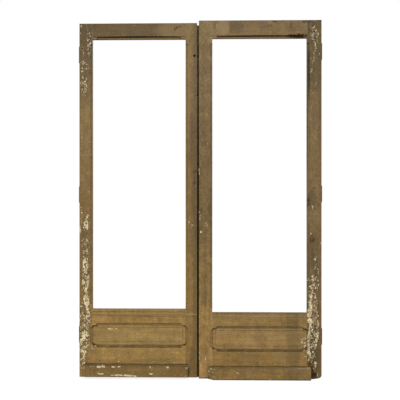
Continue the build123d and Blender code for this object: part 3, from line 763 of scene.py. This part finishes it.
rightWeatherBar = dict(
    tones=[(0.0, (136, 110, 69)), (0.08, (132, 107, 68))],
    cream=[
        (0.053, 0.042, 0.004, 0.038, 0.6), (0.083, 0.042, 0.004, 0.038, 0.5),
        (0.066, 0.066, 0.014, 0.005, 0.62), (0.066, 0.006, 0.014, 0.006, 0.6),
        (0.082, 0.068, 0.008, 0.005, 0.6), (0.428, 0.006, 0.009, 0.006, 0.66),
        (0.657, 0.0735, 0.014, 0.0035, 0.62), (0.23, 0.05, 0.012, 0.009, 0.4)],
    dark=[(0.565, 0.04, 0.043, 0.05, 0.36)],
    darkLinesAndShade=[(0.0835, 0.037, 0.0016, 0.034, 0.45)],
    grain="level", base=0.08, ledges=0.35, grimeAndShadeAmount=0.6, wear=0.45, shift=40.4)

paintedPieces = {
    "left_outer_stile": leftOuterStile,
    "right_outer_stile": rightOuterStile,
    "left_meeting_stile": leftMeetingStile,
    "right_meeting_stile": rightMeetingStile,
    "left_top_rail": leftTopRail,
    "right_top_rail": rightTopRail,
    "left_middle_rail": leftMiddleRail,
    "right_middle_rail": rightMiddleRail,
    "left_bottom_rail": leftBottomRail,
    "right_bottom_rail": rightBottomRail,
    "left_panel": leftPanel,
    "right_panel": rightPanel,
    "left_weather_bar": leftWeatherBar,
    "right_weather_bar": rightWeatherBar,
}
for node, piece in paintedPieces.items():
    dress(node, paintedWood(node.replace("_", " ") + " paint", **piece))
print("painted pieces dressed:", len(paintedPieces))


# Peg ends, and the splinters in the rotted foot
plainOak = dict(
    light=(150, 118, 80),
    middle=(112, 84, 54),
    fibre=(92, 68, 42),
    pore=(58, 42, 26),
    fibreShare=0.7,
    grainSqueeze=0.05,
    grimeAndShadeReach=0.004,
    grimeAndShadeAmount=0.7,
    roughness=(0.66, 0.84),
    poreDepth=-0.5,
    bumpStrength=0.6,
    bumpDepth=0.0004,
)


def bareOak(name):
    material, tree, shader = newMaterial(name)
    position = addNode(tree, "ShaderNodeTexCoord").outputs["Object"]
    wood = useGroup(
        tree, woodGrain, vector=stretched(tree, position, (1.0, plainOak["grainSqueeze"], 1.0)))
    tone = mixed(tree, wood["Figure"], colour(*plainOak["light"]), colour(*plainOak["middle"]))
    fibre = remap(tree, wood["Fibre"], 0.35, 0.7, 0.0, plainOak["fibreShare"])
    tone = mixed(tree, fibre, tone, colour(*plainOak["fibre"]))
    tone = mixed(tree, wood["Pore"], tone, colour(*plainOak["pore"]))
    # darker in corners: grime, and painted shade
    grimeAndShade = useGroup(
        tree, cornerGrimeAndShade, vector=position, reach=plainOak["grimeAndShadeReach"], amount=plainOak["grimeAndShadeAmount"])["Darkened"]
    feed(tree, shader.inputs["Base Color"], mixed(tree, grimeAndShade, tone, painted("grimeAndShade")))
    feed(tree, shader.inputs["Roughness"], remap(tree, wood["Fibre"], 0.3, 0.7, *plainOak["roughness"]))
    relief = calc(tree, "MULTIPLY_ADD", wood["Pore"], plainOak["poreDepth"], wood["Fibre"])
    addBump(tree, shader, relief, plainOak["bumpStrength"], plainOak["bumpDepth"])
    return material


# Hinges and screws
iron = dict(
    pitted=(40, 36, 30),
    darkRust=(70, 42, 24),
    rubbed=(136, 126, 112),
    paintLight=(124, 104, 72),
    paintDark=(100, 84, 58),
    grimeAndShade=(34, 26, 18),
    blotchScale=60.0,
    pitScale=620.0,
    paintScale=95.0,
    rustFrom=(0.62, 0.70),  # the mask's span with no rust,
    rustReach=(0.3, 0.2),  # and how far full rust lowers it
    rubRadius=0.0008,
    rubAmount=0.6,
    grimeAndShadeReach=0.006,
    grimeAndShadeAmount=0.6,
    metallic=0.85,
    dullRoughness=0.80,
    bumpStrength=0.7,
    bumpDepth=0.0003,
)
pinFinish = dict(steel=(74, 68, 60), rust=(110, 66, 36), rusted=0.55, roughness=0.52)
plateFinish = dict(steel=(74, 68, 60), rust=(110, 66, 36), rusted=0.70, roughness=0.55, overpaint=1.0)
screwFinish = dict(steel=(120, 112, 100), rust=(104, 66, 40), rusted=0.30, roughness=0.42)


def agedIron(name, steel, rust, rusted, roughness, overpaint=0.0):
    material, tree, shader = newMaterial(name)
    position = addNode(tree, "ShaderNodeTexCoord").outputs["Object"]
    blotch = noiseOn(tree, position, iron["blotchScale"], 5.0, 0.65, 0.5)
    pits = noiseOn(tree, position, iron["pitScale"], 3.0, 0.6)
    low, high = iron["rustFrom"]
    lowReach, highReach = iron["rustReach"]
    rustMask = remap(tree, blotch, low - rusted * lowReach, high - rusted * highReach)
    rustTone = mixed(tree, remap(tree, pits, 0.35, 0.65), colour(*rust), colour(*iron["darkRust"]))
    tone = mixed(tree, remap(tree, pits, 0.4, 0.7, 0.0, 0.5), colour(*steel), colour(*iron["pitted"]))
    tone = mixed(tree, rustMask, tone, rustTone)
    worn = useGroup(
        tree, edgeWear, vector=position, radius=iron["rubRadius"], amount=iron["rubAmount"])["Worn"]
    tone = mixed(tree, worn, tone, colour(*iron["rubbed"]))
    patches = remap(tree, noiseOn(tree, position, iron["paintScale"], 4.0, 0.6), 0.60, 0.56)
    covered = times(tree, patches, overpaint)
    oldPaint = mixed(tree, pits, colour(*iron["paintLight"]), colour(*iron["paintDark"]))
    tone = mixed(tree, covered, tone, oldPaint)
    # darker in corners: grime, and painted shade
    grimeAndShade = useGroup(
        tree, cornerGrimeAndShade, vector=position, reach=iron["grimeAndShadeReach"], amount=iron["grimeAndShadeAmount"])["Darkened"]
    feed(tree, shader.inputs["Base Color"], mixed(tree, grimeAndShade, tone, colour(*iron["grimeAndShade"])))
    dull = larger(tree, rustMask, covered)
    feed(tree, shader.inputs["Metallic"], remap(tree, dull, 0.0, 1.0, iron["metallic"], 0.0))
    feed(tree, shader.inputs["Roughness"], remap(tree, dull, 0.0, 1.0, roughness, iron["dullRoughness"]))
    relief = calc(tree, "MULTIPLY_ADD", rustMask, 0.8, times(tree, pits, 0.5))
    addBump(tree, shader, relief, iron["bumpStrength"], iron["bumpDepth"])
    return material


pegOak = bareOak("peg oak")
hingeIron = agedIron("hinge iron", **pinFinish)
paintedIron = agedIron("painted hinge iron", **plateFinish)
screwSteel = agedIron("screw steel", **screwFinish)
for node in nodes:
    if node.endswith("pegs"):
        dress(node, pegOak)
    elif node.endswith("_plate"):
        dress(node, paintedIron)
    elif node.endswith("_pin"):
        dress(node, hingeIron)
    elif node.endswith("screws"):
        dress(node, screwSteel)
print("pegs and hinges dressed")


# New pieces, modelled in edit mode
def pickFaces(wanted):  # selects the faces that pass the test, by their place or normal
    bpy.context.tool_settings.mesh_select_mode = (False, False, True)
    bpy.ops.object.mode_set(mode="EDIT")
    bpy.ops.mesh.select_all(action="DESELECT")
    bpy.ops.object.mode_set(mode="OBJECT")
    for face in bpy.context.object.data.polygons:
        face.select = wanted(face)
    bpy.ops.object.mode_set(mode="EDIT")


def grow(rise, ratio=1.0):  # pushes the selected face along the upright axis and narrows it
    bpy.ops.mesh.extrude_region_move(TRANSFORM_OT_translate={"value": (0.0, 0.0, rise)})
    bpy.ops.transform.resize(value=(ratio, ratio, 1.0), center_override=(0.0, 0.0, 0.0))


def copiesOf(template, places, name, material):  # one piece with a copy of the template at each place
    copies = []
    for place in places:
        part = template.copy()
        part.data = template.data.copy()
        part.data.transform(place)
        bpy.context.collection.objects.link(part)
        copies.append(part)
    bpy.data.objects.remove(template)
    bpy.ops.object.select_all(action="DESELECT")
    for part in copies:
        part.select_set(True)
    bpy.context.view_layer.objects.active = copies[0]
    bpy.ops.object.join()
    piece = bpy.context.object
    piece.name = piece.data.name = name
    piece.data.materials.append(material)
    return piece


def facing(place, direction, turn):  # puts the template's upright axis along a direction
    aim = Vector(direction).to_track_quat("Z", "Y").to_matrix().to_4x4()
    return Matrix.Translation(place) @ aim @ Matrix.Rotation(turn, 4, "Z")


screws = dict(
    head=0.0036,  # radius, and so is the shank's
    shank=0.0020,
    rim=0.0002,
    sides=24,
    slotRim=0.0004,
    slotWidth=0.0010,
    slotDepth=0.0011,
    plainShare=0.35,  # of the length, between the head and the thread
    threadPitch=0.0028,
    threadCut=0.78,
    tip=0.0050,
    tipRatio=0.1,
    smoothAngle=35.0,
    plateLength=0.0280,
    barLength=0.0590,
    sunk=0.0001,
    plateRows=(0.02375, 0.00975),  # across a leaf's edge
    plateReach=0.035,  # above and below the middle of a hinge
    edge=0.7445,  # a leaf's outer edge, from the middle of the doors
    back=0.03275,  # a leaf's room side
    leftHinges=(0.267, 1.131, 1.995),
    rightHinges=(0.260, 1.135, 2.010),
    leftBar=(-0.6385, -0.4728, -0.3072, -0.1415),
    rightBar=(0.6065, 0.4442, 0.2818, 0.1195),
    leftBarHeight=0.045,
    rightBarHeight=0.038,
    seed=5,
)


def makeScrew(length):  # countersunk, its flat head at the origin and its shank below
    head, shank, rim, tip = screws["head"], screws["shank"], screws["rim"], screws["tip"]
    bpy.ops.object.select_all(action="DESELECT")
    bpy.ops.mesh.primitive_cylinder_add(
        vertices=screws["sides"], radius=head, depth=rim, location=(0.0, 0.0, -rim / 2))
    bpy.ops.object.transform_apply(location=True)
    pickFaces(lambda face: face.normal.z < -0.9)
    grow(-(head - shank), shank / head)
    plain = length * screws["plainShare"]
    grow(-plain)
    left = length - rim - (head - shank) - plain - tip
    turns = int(left / screws["threadPitch"])
    pitch = left / turns
    for turn in range(turns):
        grow(-pitch / 2, screws["threadCut"])
        grow(-pitch / 2, 1 / screws["threadCut"])
    grow(-tip, screws["tipRatio"])
    pickFaces(lambda face: face.normal.z > 0.9)
    bpy.ops.mesh.inset(thickness=screws["slotRim"])
    half = screws["slotWidth"] / 2
    within = head - screws["slotRim"] / 2

    def inner(face):  # on the flat of the head, inside the inset
        corners = [bpy.context.object.data.vertices[corner].co for corner in face.vertices]
        return face.normal.z > 0.9 and all(math.hypot(corner.x, corner.y) < within for corner in corners)

    for side in (-1, 1):
        pickFaces(inner)
        bpy.ops.mesh.bisect(plane_co=(0.0, side * half, 0.0), plane_no=(0.0, 1.0, 0.0))
    pickFaces(lambda face: inner(face) and abs(face.center.y) < half)
    bpy.ops.mesh.extrude_region_move(TRANSFORM_OT_translate={"value": (0.0, 0.0, -screws["slotDepth"])})
    bpy.ops.object.mode_set(mode="OBJECT")
    bpy.ops.object.shade_smooth_by_angle(angle=math.radians(screws["smoothAngle"]))
    return bpy.context.object


draw = random.Random(screws["seed"])
for side, sign in (("left", -1), ("right", 1)):
    edge = sign * (screws["edge"] - screws["sunk"])
    places = [
        facing((edge, row, middle + up * screws["plateReach"]), (sign, 0.0, 0.0),
               draw.uniform(0.0, math.pi))
        for middle in screws[side + "Hinges"] for row in screws["plateRows"] for up in (-1, 1)]
    piece = copiesOf(makeScrew(screws["plateLength"]), places, side + "_slotted_plate_screws", screwSteel)
    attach(piece, side + "_leaf")
    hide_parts(side + "_plate_screws")
    places = [
        facing((x, screws["back"] - screws["sunk"], screws[side + "BarHeight"]), (0.0, 1.0, 0.0),
               draw.uniform(0.0, math.pi))
        for x in screws[side + "Bar"]]
    piece = copiesOf(makeScrew(screws["barLength"]), places, side + "_slotted_bar_screws", screwSteel)
    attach(piece, side + "_leaf")
    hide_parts(side + "_bar_screws")
print("slotted screws cut")


# Splinters left standing in the rotted foot of the right leaf
splinters = dict(
    cavities=[  # (x, z, radius, front, back, number of splinters)
        (0.7035, 0.021, 0.0150, -0.0060, 0.0025, 34), (0.6725, 0.092, 0.0075, -0.0062, -0.0015, 14)],
    length=(0.006, 0.015),
    fullRadius=0.015,  # a smaller cavity has shorter splinters
    mostAcross=1.7,  # no longer than this many half chords, and a little more
    past=0.001,
    width=(0.0010, 0.0026),
    thickness=0.6,  # times the width
    point=0.06,
    lean=0.22,
    spread=0.9,  # how far across the cavity they stand
    rooted=0.98,
    cuts=2,
    roughness=0.06,
    sides=5,
    seed=23,
)


def makeSplinter():  # one unit wide and long, its root at the origin
    bpy.ops.object.select_all(action="DESELECT")
    bpy.ops.mesh.primitive_cone_add(
        vertices=splinters["sides"], radius1=0.5, radius2=splinters["point"], depth=1.0,
        location=(0.0, 0.0, 0.5))
    bpy.ops.object.transform_apply(location=True)
    bpy.ops.object.mode_set(mode="EDIT")
    bpy.ops.mesh.select_all(action="SELECT")
    bpy.ops.mesh.subdivide(number_cuts=splinters["cuts"])
    bpy.ops.transform.vertex_random(offset=splinters["roughness"], seed=splinters["seed"])
    bpy.ops.object.mode_set(mode="OBJECT")
    return bpy.context.object


draw = random.Random(splinters["seed"])
places = []
for x, z, reach, front, deep, count in splinters["cavities"]:
    for number in range(count):
        up = 1 if number % 2 else -1
        across = draw.uniform(-splinters["spread"], splinters["spread"])
        bow = math.sqrt(1 - across ** 2)
        root = z - up * reach * bow * splinters["rooted"]
        length = draw.uniform(*splinters["length"]) * (0.5 + 0.5 * reach / splinters["fullRadius"])
        length = min(length, splinters["mostAcross"] * reach * bow + splinters["past"])
        width = draw.uniform(*splinters["width"])
        lean = (draw.gauss(0.0, splinters["lean"]), draw.gauss(0.0, splinters["lean"] * 0.5), up)
        place = (x + across * reach, draw.uniform(front + width / 2, deep), root)
        size = Matrix.Diagonal((width, width * splinters["thickness"], length, 1.0))
        places.append(facing(place, lean, draw.uniform(0.0, 6.0)) @ size)
rottenOak = bareOak("rotten oak")
piece = copiesOf(makeSplinter(), places, "right_foot_splinters", rottenOak)
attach(piece, "right_leaf")
print("splinters set")


# Studio: pale floor, white surround, one soft lamp high in front and a fill lamp behind
studio = dict(
    distance=4.0,  # from the lens to the outside face
    height=1.0975,
    across=-0.0005,
    frameWidth=2.458,  # seen at the outside face
    sensorWidth=36.0,
    faceY=-0.00725,
    yaw=1.1,  # the left leaf stands a little further off
    ambient=0.50,
    lampSoftness=9.0,
    lampStrength=1.95,
    lampFrom=(-0.16, -0.95, 0.68),
    fillStrength=0.9,  # lights the room side alone
    fillFrom=(0.25, 1.0, 0.18),
    floorTone=0.26,
    floorGlow=0.82,
    floorSize=120.0,
)


def showWhite(tree):  # 1 for what the lens, gloss and glass see directly
    path = addNode(tree, "ShaderNodeLightPath").outputs
    return larger(
        tree, larger(tree, path["Is Camera Ray"], path["Is Glossy Ray"]), path["Is Transmission Ray"])


def addLamp(name, strength, direction, shadow):
    lamp = bpy.data.lights.new(name, "SUN")
    lamp.angle = math.radians(studio["lampSoftness"])
    lamp.energy = strength
    lamp.use_shadow = shadow
    holder = bpy.data.objects.new(name, lamp)
    bpy.context.scene.collection.objects.link(holder)
    holder.rotation_euler = Vector(direction).to_track_quat("Z", "Y").to_euler()


def makeFloor():
    bpy.ops.object.select_all(action="DESELECT")
    bpy.ops.mesh.primitive_plane_add(size=studio["floorSize"], location=(0.0, 0.0, 0.0))
    floor = bpy.context.object
    floor.name = "floor"
    material = bpy.data.materials.new("pale floor")
    material.use_nodes = True
    tree = material.node_tree
    tree.nodes.clear()
    tone = studio["floorTone"]
    matt = addNode(tree, "ShaderNodeBsdfDiffuse", {"Color": (tone, tone, tone, 1.0)}).outputs[0]
    glow = addNode(tree, "ShaderNodeEmission", {"Strength": studio["floorGlow"]}).outputs[0]
    both = addNode(tree, "ShaderNodeAddShader", {0: matt, 1: glow}).outputs[0]
    choice = addNode(tree, "ShaderNodeMixShader", {0: showWhite(tree), 1: matt, 2: both}).outputs[0]
    addNode(tree, "ShaderNodeOutputMaterial", {"Surface": choice})
    floor.data.materials.append(material)


def makeSurround():
    world = bpy.data.worlds.new("white surround")
    bpy.context.scene.world = world
    world.use_nodes = True
    tree = world.node_tree
    background = tree.nodes["Background"].inputs
    background["Color"].default_value = (1.0, 1.0, 1.0, 1.0)
    level = remap(tree, showWhite(tree), 0.0, 1.0, studio["ambient"], 1.0, smooth=False)
    feed(tree, background["Strength"], level)


def makeCamera():
    lens = bpy.data.cameras.new("camera")
    lens.sensor_width = studio["sensorWidth"]
    lens.lens = lens.sensor_width * studio["distance"] / studio["frameWidth"]
    camera = bpy.data.objects.new("camera", lens)
    bpy.context.scene.collection.objects.link(camera)
    yaw = math.radians(studio["yaw"])
    camera.location = (
        studio["across"] + math.sin(yaw) * studio["distance"],
        studio["faceY"] - math.cos(yaw) * studio["distance"], studio["height"])
    camera.rotation_euler = Euler((math.radians(90.0), 0.0, yaw))
    bpy.context.scene.camera = camera


makeFloor()
makeSurround()
addLamp("soft daylight", studio["lampStrength"], studio["lampFrom"], True)
addLamp("fill behind", studio["fillStrength"], studio["fillFrom"], False)
makeCamera()
bpy.context.scene.view_settings.view_transform = "Standard"
print("studio set")
